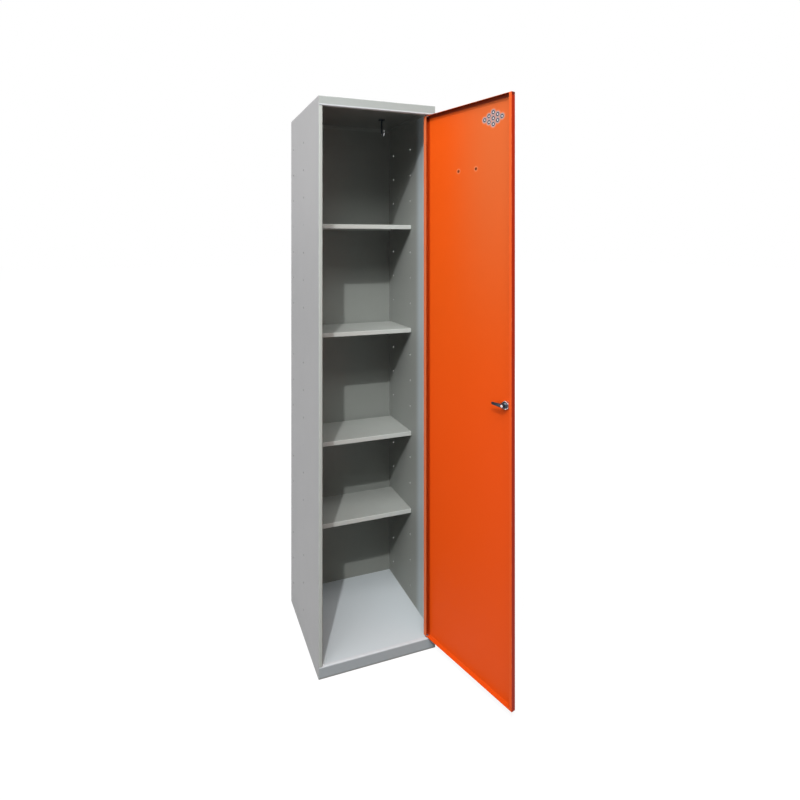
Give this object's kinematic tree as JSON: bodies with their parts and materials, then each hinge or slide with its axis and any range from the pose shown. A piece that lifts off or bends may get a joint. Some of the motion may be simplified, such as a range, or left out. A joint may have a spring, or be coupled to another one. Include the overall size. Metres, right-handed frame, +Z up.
{
  "type": "broom cupboard",
  "caption": "Tall single-door steel broom cupboard: shelves at the back, standing room for brooms in front, one full-height pan door with air holes and a cam lock.",
  "frame": {"origin": "centre of the carcass's base, on the floor the cupboard stands on; the open door is outside the carcass's outline", "axes": "+Z up, the door opening faces -Y, +X to the right seen from the front, which is the hinge side"},
  "size_m": [0.4759, 0.7403, 1.8],
  "materials": {
    "carcass_paint": "light grey powder coat",
    "door_paint": "orange powder coat",
    "zinc_plate": "bright zinc",
    "bright_chrome": "polished",
    "nylon": "moulded"
  },
  "bodies": {
    "cupboard": {"left_side_panel": "carcass_paint", "right_side_panel": "carcass_paint", "back_panel": "carcass_paint", "roof_panel": "carcass_paint", "floor_panel": "carcass_paint", "shelf_1": "carcass_paint", "shelf_2": "carcass_paint", "shelf_3": "carcass_paint", "shelf_4": "carcass_paint", "shelf_pegs": "zinc_plate", "hinge_bush_top": "nylon", "hinge_bush_bottom": "nylon", "ceiling_hook": "bright_chrome"},
    "door": {"door_panel": "door_paint", "hinge_pin_top": "zinc_plate", "hinge_pin_bottom": "zinc_plate", "lock_housing": "bright_chrome", "lock_washer": "zinc_plate", "lock_nut": "bright_chrome", "card_holder": "zinc_plate", "card_holder_rivets": "zinc_plate"},
    "lock_cam": {"lock_plug": "bright_chrome", "cam_lever": "zinc_plate", "cam_screw": "zinc_plate"}
  },
  "joints": [
    {"name": "door_swing", "type": "hinge", "parent": "cupboard", "child": "door", "pos_m": [0.1745, -0.191, 0.9], "axis": [0, 0, 1], "range_deg": [-105, 5]},
    {"name": "lock_turn", "type": "hinge", "parent": "door", "child": "lock_cam", "pos_m": [0.25965, -0.50879, 0.885], "axis": [-0.9659, -0.2588, 0], "range_deg": [0, 180]}
  ]
}
